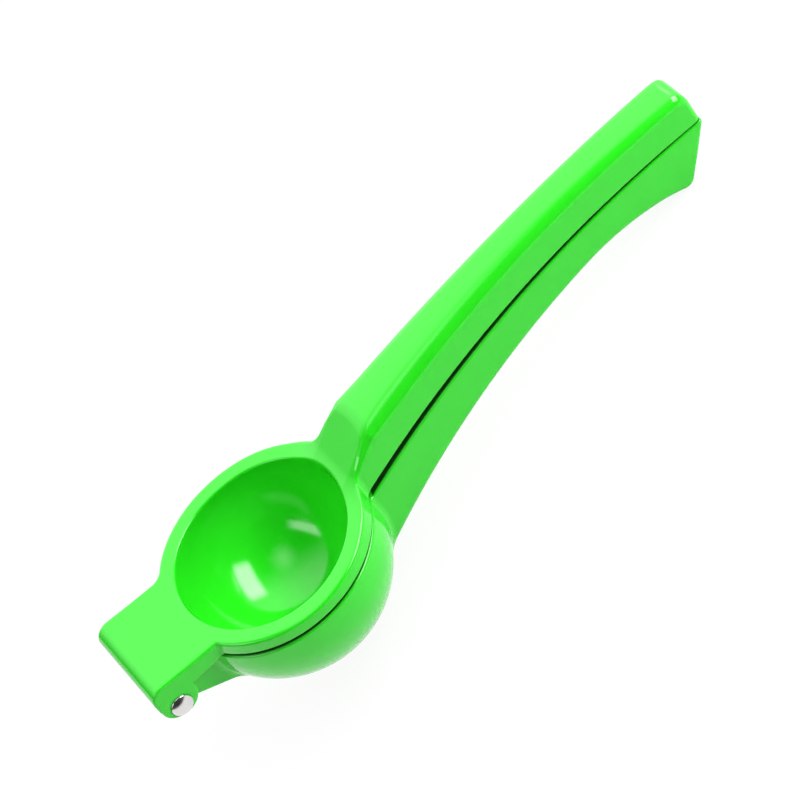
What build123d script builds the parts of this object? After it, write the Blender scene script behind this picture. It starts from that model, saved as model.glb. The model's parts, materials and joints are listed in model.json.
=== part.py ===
from build123d import *
import os
from math import asin, atan2, cos, degrees, hypot, radians, sin, sqrt, tan

# Hand citrus squeezer, closed: a press arm and a strainer arm, joined by a rivet at one end.
# Lengths are in millimetres and angles in degrees.
# The arms are drawn with the bowl's axis on Z, the press rim's top face at Z = 0, the handles along +X
# and the hinge at -X. At the end the closed tool is tipped down onto its handle, as it lies on a table.

# Strainer bowl and the pressing cup that fits into it
BOWL_R = 31.5
BOWL_WALL = 2.0
JUNCTION_R = 3.0
DOME_CLEARANCE = 0.7
CUP_WALL = 2.0
CUP_STRAIGHT = 1.7
MOUTH_EDGE_R = 0.7
JUICE_ROOM = 9.0

# Flat rim of the press arm, as wide as the bowl below it
RIM_EDGE_R = 1.1
RIM_THICK_AT_HANDLE = 4.0
RIM_THICK_AT_HINGE = 5.2
RIM_GAP_AT_HANDLE = 0.35
RIM_GAP_AT_HINGE = 1.15

# Drain holes, in rings around one in the middle
DRAIN_HOLE_R = 1.8
DRAIN_RING_STEP = 6.4
DRAIN_RINGS = 2
DRAIN_HOLES_PER_RING = 6

# Hinge: the strainer's tongue ends in a knuckle that turns on the pin, between the ears of the hood
HINGE_OVERHANG = 13.7
HINGE_DROP = 8.7
PIN_R = 2.0
PIN_SEAT_CLEARANCE = 0.02
PIN_RUNNING_CLEARANCE = 0.05
PIN_HEAD_OVERHANG = 1.1
PIN_HEAD_RISE = 1.5
PIN_PEEN_OVERHANG = 0.7
PIN_PEEN_RISE = 1.0
KNUCKLE_WALL = 2.2
KNUCKLE_CLEARANCE = 0.4
TONGUE_HALF_WIDTH = 10.8
TONGUE_SLOPE_ANGLE = 27.6
EAR_THICK = 4.8
EAR_MARGIN = 1.5
EAR_NOTCH_R = 1.5
HOOD_RISE_ANGLE = 6.5
HOOD_ROLL_R = 8.0
HOOD_EDGE_R = 0.9
LIP_ABOVE_PIN = 2.1

# Handles, seen from above
HANDLE_LENGTH = 133.9
GRIP_LENGTH = 30.4
GRIP_HALF_WIDTH = 6.6
WAIST_SIDE_R = 1280.0
ROOT_CORNER_R = 4.0

# Handles, seen from the side: arcs given by their heights where they leave the rim and at their crest
CREST_FROM_TIP = 24.7
SEAM_CREST_Z = 14.1
SEAM_ROOT_Z = -2.5
SEAM_GAP_AT_ROOT = 1.5
SEAM_GAP_AT_CREST = 0.4
SEAM_GAP_AT_TIP = 0.35
BACK_ABOVE_SEAM = 11.3
BACK_ROOT_Z = 10.6
FLARE_FROM_TIP = 39.4
FLARE_BELOW_SEAM = 13.1
FLARE_R = 74.0
BELLY_ROOT_Z = -23.4
BELLY_BLEND_ANGLE = 6.05
TIP_SLANT_ANGLE = 35.5
RAMP_SETBACK = 6.0
RAMP_FOOT_R = 4.9
RAMP_ANGLE = 50.0

# Rounded edges and walls of the handles
SHOULDER_R = 4.5
BELLY_EDGE_R = 2.2
TIP_EDGE_R = 2.0
CHANNEL_WALL = 2.6
CHANNEL_ROOF = 3.0

# Places worked out from the sizes above
RIM_R = BOWL_R
BOWL_INNER_R = BOWL_R - BOWL_WALL
DOME_R = BOWL_INNER_R - DOME_CLEARANCE
MOUTH_R = DOME_R - CUP_WALL
CUP_CENTRE_Z = -CUP_STRAIGHT
BOWL_DEPTH = CUP_STRAIGHT + DOME_R + JUICE_ROOM + BOWL_WALL
BOWL_CENTRE_Z = BOWL_R - BOWL_DEPTH
PIN_X = -BOWL_R - HINGE_OVERHANG
PIN_Z = -HINGE_DROP
KNUCKLE_R = PIN_R + KNUCKLE_WALL
EAR_R = KNUCKLE_R + EAR_MARGIN
SLOT_HALF_WIDTH = TONGUE_HALF_WIDTH + KNUCKLE_CLEARANCE
HOOD_HALF_WIDTH = SLOT_HALF_WIDTH + EAR_THICK
HOOD_FRONT_X = PIN_X - EAR_R
HOOD_START_X = -sqrt(RIM_R**2 - HOOD_HALF_WIDTH**2)
HOOD_ROOT_X = -MOUTH_R
HANDLE_END_X = RIM_R + HANDLE_LENGTH
WAIST_X = HANDLE_END_X - GRIP_LENGTH
CREST_X = HANDLE_END_X - CREST_FROM_TIP
BACK_CREST_Z = SEAM_CREST_Z + BACK_ABOVE_SEAM
BACK_R = hypot(CREST_X - RIM_R, BACK_CREST_Z - BACK_ROOT_Z) ** 2 / (2 * (BACK_CREST_Z - BACK_ROOT_Z))
SEAM_R = hypot(CREST_X - RIM_R, SEAM_CREST_Z - SEAM_ROOT_Z) ** 2 / (2 * (SEAM_CREST_Z - SEAM_ROOT_Z))
FLARE_CREST_X = HANDLE_END_X - FLARE_FROM_TIP
FLARE_CREST_Z = SEAM_CREST_Z - FLARE_BELOW_SEAM
RAMP_START_X = RIM_R - RAMP_SETBACK
PRESS_CHANNEL_X = RIM_R + BACK_ABOVE_SEAM
STRAINER_CHANNEL_X = BOWL_R + CHANNEL_WALL

# How far a cutting shape reaches past what it cuts, how many passes find the top of the ramp,
# and how near a point counts as lying on a surface
OVERRUN = 10.0
RAMP_PASSES = 20
NEAR = 0.01


def arc_height(crest_x, crest_z, radius, x):
    """Height at x of a circle that arches up to its crest."""
    return crest_z - radius + sqrt(radius**2 - (x - crest_x) ** 2)


def seam_z(x):
    """The lower edge of the press arm's handle."""
    return arc_height(CREST_X, SEAM_CREST_Z, SEAM_R, x)


def back_z(x):
    """The top of the press arm's handle."""
    return arc_height(CREST_X, BACK_CREST_Z, BACK_R, x)


def half_width_at(x):
    """Half the handles' width: an arc on each side, straight along the grip."""
    ahead = max(WAIST_X - x, 0)
    return GRIP_HALF_WIDTH + WAIST_SIDE_R - sqrt(WAIST_SIDE_R**2 - ahead**2)


def rim_plane(depth_at_handle, depth_at_hinge):
    """A slightly sloping plane, given by its depth below the rim's top at both ends of the rim."""
    slope = (depth_at_hinge - depth_at_handle) / (2 * RIM_R)
    middle = -(depth_at_handle + depth_at_hinge) / 2
    return Plane(origin=(0, 0, middle), x_dir=(1, 0, slope), z_dir=(-slope, 0, 1))


def plane_z(plane, x):
    return plane.origin.Z - plane.z_dir.X / plane.z_dir.Z * x


PRESS_UNDERSIDE = rim_plane(RIM_THICK_AT_HANDLE, RIM_THICK_AT_HINGE)
STRAINER_TOP = rim_plane(RIM_THICK_AT_HANDLE + RIM_GAP_AT_HANDLE, RIM_THICK_AT_HINGE + RIM_GAP_AT_HINGE)


def side_slab(profile, half_width):
    """A side view, drawn as X and Z, carried the same distance to both sides."""
    return extrude(Plane.XZ * profile, amount=half_width, both=True)


def upright(plan):
    """A plan, drawn as X and Y, carried up and down past the whole tool."""
    return extrude(plan, amount=BOWL_DEPTH + OVERRUN, both=True)


def turned(profile):
    """A half view, drawn as radius and Z, turned about the bowl's axis."""
    return revolve(Plane.YZ * profile, axis=Axis.Z)


def round_bottomed(radius, centre_z, top_z):
    """A cylinder that ends below in a half ball."""
    straight = Polyline((0, centre_z - radius), (0, top_z), (radius, top_z), (radius, centre_z))
    ball = CenterArc((0, centre_z), radius, 0, -90)
    return turned(make_face(straight + ball))


def pin_bore(radius):
    return Pos(PIN_X, 0, PIN_Z) * Rot(90, 0, 0) * Cylinder(radius, 2 * HOOD_HALF_WIDTH + OVERRUN)


def handle_plan(start_x, end_x, inset):
    """The handles seen from above, drawn narrower by the inset on both sides."""
    middle_x = (start_x + WAIST_X) / 2
    near = [(x, -half_width_at(x) + inset) for x in (start_x, middle_x, WAIST_X)]
    far = [(x, -y) for x, y in reversed(near)]
    grip = GRIP_HALF_WIDTH - inset
    outline = ThreePointArc(*near)
    outline += Polyline((WAIST_X, -grip), (end_x, -grip), (end_x, grip), (WAIST_X, grip))
    outline += ThreePointArc(*far)
    outline += Line(far[-1], near[0])
    return make_face(outline)


def beside(edge):
    """True for an edge along one of the handles' sides."""
    return abs((edge @ 0.5).Y) > GRIP_HALF_WIDTH / 2


def on_back(point):
    return abs(point.Z - back_z(point.X)) < NEAR


def press_handle():
    """The upper handle: a ramp up from the rim, an arched back with rounded shoulders, a square tip."""
    overrun_x = HANDLE_END_X + OVERRUN
    turn = radians(RAMP_ANGLE)
    foot = [
        (RAMP_START_X + RAMP_FOOT_R * sin(a), RAMP_FOOT_R * (1 - cos(a))) for a in (0, turn / 2, turn)
    ]
    ramp_top_x = foot[-1][0]
    for _ in range(RAMP_PASSES):
        ramp_top_x = foot[-1][0] + (back_z(ramp_top_x) - foot[-1][1]) / tan(turn)
    ramp_top = (ramp_top_x, back_z(ramp_top_x))
    back_end = (overrun_x, back_z(overrun_x))
    seam_end = (overrun_x, seam_z(overrun_x))
    seam_start = (RAMP_START_X, seam_z(RAMP_START_X))
    outline = ThreePointArc(*foot) + Line(foot[-1], ramp_top)
    outline += ThreePointArc(ramp_top, (CREST_X, BACK_CREST_Z), back_end)
    outline += Line(back_end, seam_end)
    outline += ThreePointArc(seam_end, (CREST_X, SEAM_CREST_Z), seam_start)
    outline += Line(seam_start, foot[0])
    plan = Circle(RIM_R) + handle_plan(0, overrun_x, 0)
    corners = [v for v in plan.vertices() if 0 < v.X < RIM_R]
    plan = fillet(corners, ROOT_CORNER_R)
    body = side_slab(make_face(outline), RIM_R) & upright(plan)
    shoulders = [e for e in body.edges() if beside(e) and on_back(e @ 0.5)]
    body = fillet(shoulders, SHOULDER_R)
    end = Plane(origin=(HANDLE_END_X, 0, 0), x_dir=(0, 1, 0), z_dir=(1, 0, 0))
    body = split(body, bisect_by=end, keep=Keep.BOTTOM)
    tip = body.faces().sort_by(Axis.X)[-1]
    return fillet(tip.edges().sort_by(Axis.Z)[1:], TIP_EDGE_R)


def press_channel():
    """The hollow of the upper handle, open downwards."""
    end_x = HANDLE_END_X - CHANNEL_WALL
    roof_crest_z = BACK_CREST_Z - CHANNEL_ROOF
    roof = [
        (x, arc_height(CREST_X, roof_crest_z, BACK_R - CHANNEL_ROOF, x))
        for x in (PRESS_CHANNEL_X, CREST_X, end_x)
    ]
    low_z = -BOWL_DEPTH
    outline = ThreePointArc(*roof)
    outline += Polyline(roof[-1], (end_x, low_z), (PRESS_CHANNEL_X, low_z), roof[0])
    return side_slab(make_face(outline), RIM_R) & upright(handle_plan(PRESS_CHANNEL_X, end_x, CHANNEL_WALL))


def hood():
    """The hinge end of the press arm: a rising roof, rolled over at the front, with an ear on each side."""
    rise = tan(radians(HOOD_RISE_ANGLE))
    roll_x = HOOD_FRONT_X + HOOD_ROLL_R
    roll_z = rise * (HOOD_START_X - roll_x) - HOOD_ROLL_R * hypot(1, rise)
    first = 90 - HOOD_RISE_ANGLE
    roll = [
        (roll_x + HOOD_ROLL_R * cos(radians(a)), roll_z + HOOD_ROLL_R * sin(radians(a)))
        for a in (first, (first + 180) / 2, 180)
    ]
    outline = ThreePointArc(*roll)
    outline += Polyline(
        roll[-1],
        (HOOD_FRONT_X, PIN_Z),
        (PIN_X, PIN_Z),
        (PIN_X, plane_z(PRESS_UNDERSIDE, PIN_X)),
        (HOOD_ROOT_X, plane_z(PRESS_UNDERSIDE, HOOD_ROOT_X)),
        (HOOD_ROOT_X, -RIM_EDGE_R),
        (HOOD_START_X, 0),
        roll[0],
    )
    view = make_face(outline) + Pos(PIN_X, PIN_Z) * Circle(EAR_R)
    notch = [v for v in view.vertices() if PIN_X < v.X < PIN_X + EAR_R and v.Y < PIN_Z + EAR_R]
    view = fillet(notch, EAR_NOTCH_R)
    body = side_slab(view, HOOD_HALF_WIDTH)
    sides = [e for e in body.edges() if abs(abs((e @ 0.5).Y) - HOOD_HALF_WIDTH) < NEAR]
    body = fillet([e for e in sides if (e @ 0.5).X < PIN_X], HOOD_EDGE_R)
    lip_z = PIN_Z + LIP_ABOVE_PIN
    slot = Pos(PIN_X, PIN_Z) * Circle(KNUCKLE_R + KNUCKLE_CLEARANCE)
    slot += make_face(
        Polyline(
            (HOOD_FRONT_X - OVERRUN, lip_z),
            (HOOD_ROOT_X, lip_z),
            (HOOD_ROOT_X, -BOWL_DEPTH),
            (HOOD_FRONT_X - OVERRUN, -BOWL_DEPTH),
            close=True,
        )
    )
    return body - side_slab(slot, SLOT_HALF_WIDTH)


def cup_hollow():
    """The inside of the pressing cup, with its rounded mouth."""
    lip_r = MOUTH_R + MOUTH_EDGE_R
    outline = Line((MOUTH_R, -MOUTH_EDGE_R), (MOUTH_R, CUP_CENTRE_Z))
    outline += CenterArc((0, CUP_CENTRE_Z), MOUTH_R, 0, -90)
    outline += Polyline((0, CUP_CENTRE_Z - MOUTH_R), (0, OVERRUN), (lip_r, OVERRUN), (lip_r, 0))
    outline += CenterArc((lip_r, -MOUTH_EDGE_R), MOUTH_EDGE_R, 90, 90)
    return turned(make_face(outline))


def press_arm():
    rim = Pos(0, 0, -RIM_THICK_AT_HINGE) * Cylinder(RIM_R, 2 * RIM_THICK_AT_HINGE)
    rim = fillet(rim.edges().sort_by(Axis.Z)[-1], RIM_EDGE_R)
    dome = round_bottomed(DOME_R, CUP_CENTRE_Z, -MOUTH_EDGE_R)
    raised = split(rim + press_handle(), bisect_by=PRESS_UNDERSIDE, keep=Keep.TOP)
    arm = raised + dome + hood() - press_channel()
    return arm - cup_hollow() - pin_bore(PIN_R + PIN_SEAT_CLEARANCE)


def belly_radius():
    """Radius of the long arc that runs from the bowl into the flare without a kink."""
    turn = radians(BELLY_BLEND_ANGLE)
    run = FLARE_CREST_X - FLARE_R * sin(turn) - BOWL_R
    climb = FLARE_CREST_Z - FLARE_R * (1 - cos(turn)) - BELLY_ROOT_Z
    return (run**2 + climb**2) / (2 * (climb * cos(turn) - run * sin(turn)))


def belly_z(x, raise_by):
    """The underside of the strainer arm's handle, raised by the given wall: a long arc, then a flare."""
    turn = radians(BELLY_BLEND_ANGLE)
    if x > FLARE_CREST_X - (FLARE_R + raise_by) * sin(turn):
        return arc_height(FLARE_CREST_X, FLARE_CREST_Z + raise_by, FLARE_R + raise_by, x)
    beyond = belly_radius() - FLARE_R
    crest_x = FLARE_CREST_X + beyond * sin(turn)
    crest_z = FLARE_CREST_Z + beyond * (1 - cos(turn))
    return arc_height(crest_x, crest_z + raise_by, belly_radius() + raise_by, x)


def strainer_handle_side(start_x, end_x, floor):
    """Side view of the strainer arm's handle, between the seam and the belly raised by the floor."""
    blend_x = FLARE_CREST_X - (FLARE_R + floor) * sin(radians(BELLY_BLEND_ANGLE))
    long_arc = [(x, belly_z(x, floor)) for x in (start_x, (start_x + blend_x) / 2, blend_x)]
    flare = [(x, belly_z(x, floor)) for x in (blend_x, (blend_x + end_x) / 2, end_x)]
    seam = [
        (end_x, seam_z(end_x) - SEAM_GAP_AT_TIP),
        (CREST_X, SEAM_CREST_Z - SEAM_GAP_AT_CREST),
        (start_x, seam_z(start_x) - SEAM_GAP_AT_ROOT),
    ]
    outline = ThreePointArc(*long_arc) + ThreePointArc(*flare) + ThreePointArc(*seam)
    outline += Line(flare[-1], seam[0])
    outline += Line(seam[-1], long_arc[0])
    return make_face(outline)


def tip_plane(inset):
    """The slanted end of the strainer arm's handle, moved inwards by the inset."""
    slant = radians(TIP_SLANT_ANGLE)
    top = (HANDLE_END_X - inset / cos(slant), 0, seam_z(HANDLE_END_X) - SEAM_GAP_AT_TIP)
    return Plane(origin=top, x_dir=(0, 1, 0), z_dir=(cos(slant), 0, -sin(slant)))


def on_belly(point):
    return point.X > BOWL_R and abs(point.Z - belly_z(point.X, 0)) < NEAR


def strainer_handle():
    """The lower handle, from inside the bowl to its slanted tip, rounded along the belly and at the tip."""
    start_x = BOWL_R / 2
    end_x = HANDLE_END_X + OVERRUN
    body = side_slab(strainer_handle_side(start_x, end_x, 0), RIM_R) & upright(handle_plan(start_x, end_x, 0))
    body = fillet([e for e in body.edges() if beside(e) and on_belly(e @ 0.5)], BELLY_EDGE_R)
    body = split(body, bisect_by=tip_plane(0), keep=Keep.BOTTOM)
    tip = body.faces().sort_by(Axis.X)[-1]
    return fillet(tip.edges().sort_by(Axis.Z)[:-1], TIP_EDGE_R)


def strainer_channel():
    """The hollow of the lower handle, open upwards."""
    side = strainer_handle_side(STRAINER_CHANNEL_X, HANDLE_END_X, CHANNEL_ROOF)
    plan = handle_plan(STRAINER_CHANNEL_X, HANDLE_END_X, CHANNEL_WALL)
    hollow = side_slab(side, RIM_R) & upright(plan)
    return split(hollow, bisect_by=tip_plane(CHANNEL_WALL), keep=Keep.BOTTOM)


def tongue():
    """The hinge end of the strainer arm: a wedge under the hood that ends in the knuckle."""
    slope = radians(TONGUE_SLOPE_ANGLE)
    under = (PIN_X - KNUCKLE_R * sin(slope), PIN_Z - KNUCKLE_R * cos(slope))
    root_x = -BOWL_R / 2
    outline = Polyline(
        (PIN_X, PIN_Z),
        (PIN_X, plane_z(STRAINER_TOP, PIN_X)),
        (root_x, plane_z(STRAINER_TOP, root_x)),
        (root_x, under[1] - (root_x - under[0]) * tan(slope)),
        under,
        close=True,
    )
    view = make_face(outline) + Pos(PIN_X, PIN_Z) * Circle(KNUCKLE_R)
    return side_slab(view, TONGUE_HALF_WIDTH)


def drain_holes():
    places = [(0, 0)]
    for ring in range(1, DRAIN_RINGS + 1):
        around = PolarLocations(ring * DRAIN_RING_STEP, ring * DRAIN_HOLES_PER_RING)
        places += [(spot.position.X, spot.position.Y) for spot in around]
    return [Pos(x, y, -BOWL_DEPTH) * Cylinder(DRAIN_HOLE_R, 2 * BOWL_R) for x, y in places]


def rim_room():
    """The space above the bowl that the press arm's rim takes up."""
    room = Cylinder(RIM_R + RIM_GAP_AT_HANDLE, 2 * BOWL_DEPTH)
    return split(room, bisect_by=STRAINER_TOP, keep=Keep.TOP)


def on_tongue_root(point):
    """True for a point where the tongue's sides and underside meet the outside of the bowl."""
    below = max(BOWL_CENTRE_Z - point.Z, 0)
    on_bowl = abs(sqrt(point.X**2 + point.Y**2 + below**2) - BOWL_R) < NEAR
    under_rim = point.Z < plane_z(STRAINER_TOP, point.X) - NEAR
    return on_bowl and under_rim and abs(point.Y) < TONGUE_HALF_WIDTH + NEAR


def strainer_arm():
    bowl = round_bottomed(BOWL_R, BOWL_CENTRE_Z, 0) + tongue()
    bowl = fillet([e for e in bowl.edges() if on_tongue_root(e @ 0.5)], JUNCTION_R)
    arm = bowl + strainer_handle() - rim_room()
    arm = arm - round_bottomed(BOWL_INNER_R, BOWL_CENTRE_Z, OVERRUN) - strainer_channel()
    return arm - drain_holes() - pin_bore(PIN_R + PIN_RUNNING_CLEARANCE)


def domed_end(overhang, rise):
    """A shallow dome on one end of the pin, wider than its shank."""
    head_r = PIN_R + overhang
    ball_r = (head_r**2 + rise**2) / (2 * rise)
    ball = Pos(0, 0, HOOD_HALF_WIDTH + rise - ball_r) * Sphere(ball_r)
    return split(ball, bisect_by=Plane.XY.offset(HOOD_HALF_WIDTH), keep=Keep.TOP)


def hinge_pin():
    shank = Cylinder(PIN_R, 2 * HOOD_HALF_WIDTH)
    head = domed_end(PIN_HEAD_OVERHANG, PIN_HEAD_RISE)
    peened = Rot(180, 0, 0) * domed_end(PIN_PEEN_OVERHANG, PIN_PEEN_RISE)
    return Pos(PIN_X, 0, PIN_Z) * Rot(90, 0, 0) * (shank + head + peened)


def rest_angle():
    """How far the tool tips until its handle's lower corner touches the table that the bowl stands on."""
    slant = radians(TIP_SLANT_ANGLE)
    flare_centre_z = FLARE_CREST_Z - FLARE_R
    edge_x = HANDLE_END_X - TIP_EDGE_R / cos(slant)
    edge_z = seam_z(HANDLE_END_X) - SEAM_GAP_AT_TIP
    from_x = edge_x - FLARE_CREST_X
    from_z = edge_z - flare_centre_z
    along = from_x * sin(slant) + from_z * cos(slant)
    across = from_x**2 + from_z**2 - (FLARE_R + TIP_EDGE_R) ** 2
    slide = along - sqrt(along**2 - across)
    corner_x = edge_x - slide * sin(slant)
    corner_z = edge_z - slide * cos(slant) - BOWL_CENTRE_Z
    lift = asin((BOWL_R - TIP_EDGE_R) / hypot(corner_x, corner_z))
    return degrees(atan2(corner_z, corner_x) + lift)


def laid_down(pieces):
    """The pieces tipped onto the handle, centred over the origin and standing on Z = 0."""
    tipped = [Rot(0, rest_angle(), 0) * piece for piece in pieces]
    boxes = [piece.bounding_box() for piece in tipped]
    middle_x = (min(box.min.X for box in boxes) + max(box.max.X for box in boxes)) / 2
    shift = Pos(-middle_x, 0, -min(box.min.Z for box in boxes))
    return [shift * piece for piece in tipped]


os.makedirs("parts", exist_ok=True)
NAMES = ("press_arm", "strainer_arm", "hinge_pin")
for name, solid in zip(NAMES, laid_down([press_arm(), strainer_arm(), hinge_pin()])):
    export_step(solid, f"parts/{name}.step")
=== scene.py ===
import json
import math

import bpy
import numpy as np
from mathutils import Matrix, Quaternion, Vector


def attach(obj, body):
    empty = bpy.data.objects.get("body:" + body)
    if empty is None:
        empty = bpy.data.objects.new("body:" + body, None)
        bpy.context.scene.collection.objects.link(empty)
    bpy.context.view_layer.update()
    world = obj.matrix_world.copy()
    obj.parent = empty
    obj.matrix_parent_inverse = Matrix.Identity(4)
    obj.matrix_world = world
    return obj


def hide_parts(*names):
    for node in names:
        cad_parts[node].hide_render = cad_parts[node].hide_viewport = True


# Hand citrus squeezer, closed, in glossy lime enamel with a bright steel rivet at its hinge.
# The two arms are castings with every edge rounded, so each is made from a distance field: a function that
# gives how far a point lies outside the casting, negative inside. Lengths there are in millimetres, in the
# rim's own frame: rim top at Z = 0 around the origin, handles along +X, hinge at -X. The finished meshes
# are laid down where the frame has them, in metres.

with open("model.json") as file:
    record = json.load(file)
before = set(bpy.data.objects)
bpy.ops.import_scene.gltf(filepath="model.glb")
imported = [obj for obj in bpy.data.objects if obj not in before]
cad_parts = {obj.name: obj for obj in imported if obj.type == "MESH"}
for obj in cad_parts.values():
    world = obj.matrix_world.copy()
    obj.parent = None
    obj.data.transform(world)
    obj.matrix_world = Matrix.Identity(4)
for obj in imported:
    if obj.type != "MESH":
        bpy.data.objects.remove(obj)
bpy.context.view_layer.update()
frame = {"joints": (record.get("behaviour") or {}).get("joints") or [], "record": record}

MM = 0.001


def mount(name):
    """The part's mount of that name."""
    return next(m for m in frame["record"]["mounts"] if m["name"] == name)


# How the rim's frame lies in the row's frame, from the rim's mount and the hinge
RIM_UP = Vector(mount("rim_top")["axis"]).normalized()
RIM_CENTRE = Vector(mount("rim_top")["pos_m"]) * Vector((1, 0, 1))
RIM_SIDE = Vector((0, 1, 0))
RIM_TURN = Matrix((RIM_SIDE.cross(RIM_UP), RIM_SIDE, RIM_UP)).transposed()
HINGE = RIM_TURN.transposed() @ (Vector(frame["joints"][0]["pos_m"]) - RIM_CENTRE) / MM

# Bowl, pressing cup and rim
BOWL_R = 32.0
BOWL_DEPTH = 31.5
BOWL_INNER_R = 29.5
BOWL_CENTRE_Z = -10.0
DOME_R = 28.8
MOUTH_R = 26.8
CUP_CENTRE_Z = -1.7
MOUTH_EDGE_R = 0.7
RIM_R = BOWL_R
RIM_LOW_X = -5.0
RIM_LOW_Z = -0.4
RIM_BOW_R_AT_HANDLE = 230.0
RIM_BOW_R_AT_HINGE = 400.0
RIM_THICK_AT_HANDLE = 4.0
RIM_THICK_AT_HINGE = 5.2
RIM_GAP_AT_HANDLE = 0.7
RIM_GAP_AT_HINGE = 1.7
BOWL_EDGE_R = 0.8
DOME_TOP_Z = -2.0
DOME_ROOT_R = 0.8

# Drain holes, in rings around one in the middle
DRAIN_HOLE_R = 1.8
DRAIN_RING_STEP = 6.4
DRAIN_RINGS = 2
DRAIN_HOLES_PER_RING = 6
DRAIN_EDGE_R = 0.4

# Hinge
PIN_R = 2.0
PIN_SEAT_CLEARANCE = 0.02
PIN_RUNNING_CLEARANCE = 0.05
KNUCKLE_R = 4.2
KNUCKLE_CLEARANCE = 0.4
TONGUE_HALF_WIDTH = 10.8
TONGUE_SLOPE = math.radians(27.6)
TONGUE_ROOT_R = 1.8
TONGUE_EDGE_R = 0.6
EAR_AHEAD_OF_PIN = 0.3
EAR_ABOVE_PIN = 2.1
EAR_X = HINGE.x + EAR_AHEAD_OF_PIN
EAR_Z = HINGE.z + EAR_ABOVE_PIN
EAR_R = 6.05
EAR_NOTCH_R = 0.25
SLOT_HALF_WIDTH = 11.2
HOOD_HALF_WIDTH = 16.5
HOOD_ROLL_R = 5.5
HOOD_FAR_ROOT_R = 4.0
HOOD_NEAR_ROOT_R = 0.5
LIP_ABOVE_PIN = 2.1
HOOD_FRONT_X = EAR_X - EAR_R

# Handles
PRESS_END_X = 166.5
STRAINER_END_X = 166.6
WAIST_X = 135.0
GRIP_HALF_WIDTH = 6.6
WAIST_SIDE_R = 1280.0
CREST_X = 140.7
SEAM_CREST_Z = 14.1
SEAM_ROOT_Z = -2.5
SEAM_GAP_AT_ROOT = 2.6
SEAM_GAP_AT_CREST = 0.9
SEAM_GAP_AT_TIP = 0.5
BACK_CREST_Z = 25.85
BACK_ROOT_Z = 11.9
BACK_CROWN_R = 45.0
BACK_CROWN_HALF_WIDTH = 12.0
FLARE_CREST_X = 126.0
FLARE_CREST_Z = 0.8
FLARE_R = 74.0
BELLY_ROOT_Z = -23.4
BELLY_BLEND = math.radians(6.05)
TIP_SLANT = math.radians(35.5)
RAMP_START_X = 23.4
RAMP_FOOT_R = 18.0
RAMP_FOOT_TURN = math.radians(33.0)
RAMP_CREST_R = 11.0
RAMP_CREST_TURN = math.radians(26.0)
RAMP = math.radians(38.0)
RAMP_HALF_WIDTH = 8.0
RAMP_LAG = 0.25
ROOT_CORNER_R = 3.0
ROOT_CORNER_TURN = math.radians(66.0)
TOP_EDGE_X = (-50.0, -16.0, 30.0, 35.0, 40.0, 50.0, 90.0, 160.0)
TOP_EDGE_R = (0.7, 1.4, 1.2, 2.3, 4.2, 5.0, 4.6, 2.9)
BELLY_EDGE_X = (146.0, 160.0)
BELLY_EDGE_R = (2.2, 1.0)
PRESS_TIP_R = 2.4
PRESS_TIP_ROLL_R = 5.5
PRESS_TIP_ROLL_PAST = 1.0
STRAINER_TIP_R = 2.5
SEAM_EDGE_R = 0.85
BELLY_ROOT_R = (3.2, 2.6)
BELLY_ROOT_AT_Z = (-20.0, -5.0)

# Hollows of the handles, and the edges that are only knocked off
CHANNEL_WALL = 2.6
CHANNEL_ROOF = 3.0
CHANNEL_CORNER_R = 2.0
PRESS_CHANNEL_X = 42.8
STRAINER_CHANNEL_X = 34.1
SOFT_EDGE_R = 0.4
BORE_EDGE_R = 0.3

# Painted shade in gaps and hollows: the depth where it starts, and the depth where it is full
PAINTED_SHADE_DEPTH = (0.3, 0.9)

# Mesh grid: its finest step, the room around a casting, how many steps the coarsest cells have, where a
# cell's middle lies, and how many cell sizes from the surface a cell still counts as near it
GRID_STEP = 0.32
GRID_MARGIN = 2.0
COARSE_STEPS = 8
CELL_MIDDLE = 0.5
NEAR_CELLS = 1.6

# The triangles that each casting is thinned to, and how its points then settle on the surface: the step
# over which slopes are measured, and how often the points move
CASTING_TRIANGLES = 190000
SLOPE_STEP = 0.01
SETTLE_PASSES = 3


# Ways to put distances together

def joined(a, b, blend):
    """Two shapes as one, with the corner between them filled."""
    fill = np.sqrt(np.maximum(blend - a, 0) ** 2 + np.maximum(blend - b, 0) ** 2)
    return np.maximum(blend, np.minimum(a, b)) - fill


def shared(a, b, blend):
    """What two shapes have in common, with the edge between them rounded."""
    round_off = np.sqrt(np.maximum(blend + a, 0) ** 2 + np.maximum(blend + b, 0) ** 2)
    return np.minimum(-blend, np.maximum(a, b)) + round_off


def cut(a, b, blend):
    """The first shape without the second, with the edge between them rounded."""
    return shared(a, -b, blend)


def blend_for(radius, turn):
    """The blend that gives a real radius where two faces turn by an angle."""
    return radius * (1 - math.cos(turn))


# Simple distances

def past_plane(p, origin, normal):
    """Distance past a plane that stands across the X and Z directions."""
    return (p[0] - origin[0]) * normal[0] + (p[2] - origin[1]) * normal[1]


def from_arc(p, crest_x, crest_z, radius):
    """Distance above a circle that arches up to its crest."""
    return np.hypot(p[0] - crest_x, p[2] - (crest_z - radius)) - radius


def from_pin(p, radius):
    """Distance outside a round bar along the hinge."""
    return np.hypot(p[0] - HINGE.x, p[2] - HINGE.z) - radius


def from_axis(p):
    """Distance from the bowl's axis."""
    return np.hypot(p[0], p[1])


def round_bottomed(p, radius, depth, centre_z):
    """Distance outside a cylinder that ends below in a half ball of its own depth."""
    down = np.minimum(p[2] - centre_z, 0) * radius / depth
    return np.hypot(from_axis(p), down) - radius


def above_rim_plane(p, depth_at_handle, depth_at_hinge):
    """Distance above a slightly sloping plane, given by its depth below the rim's top at both ends."""
    slope = (depth_at_hinge - depth_at_handle) / (2 * RIM_R)
    middle = -(depth_at_handle + depth_at_hinge) / 2
    return (p[2] - middle - slope * p[0]) / math.hypot(1, slope)


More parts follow.
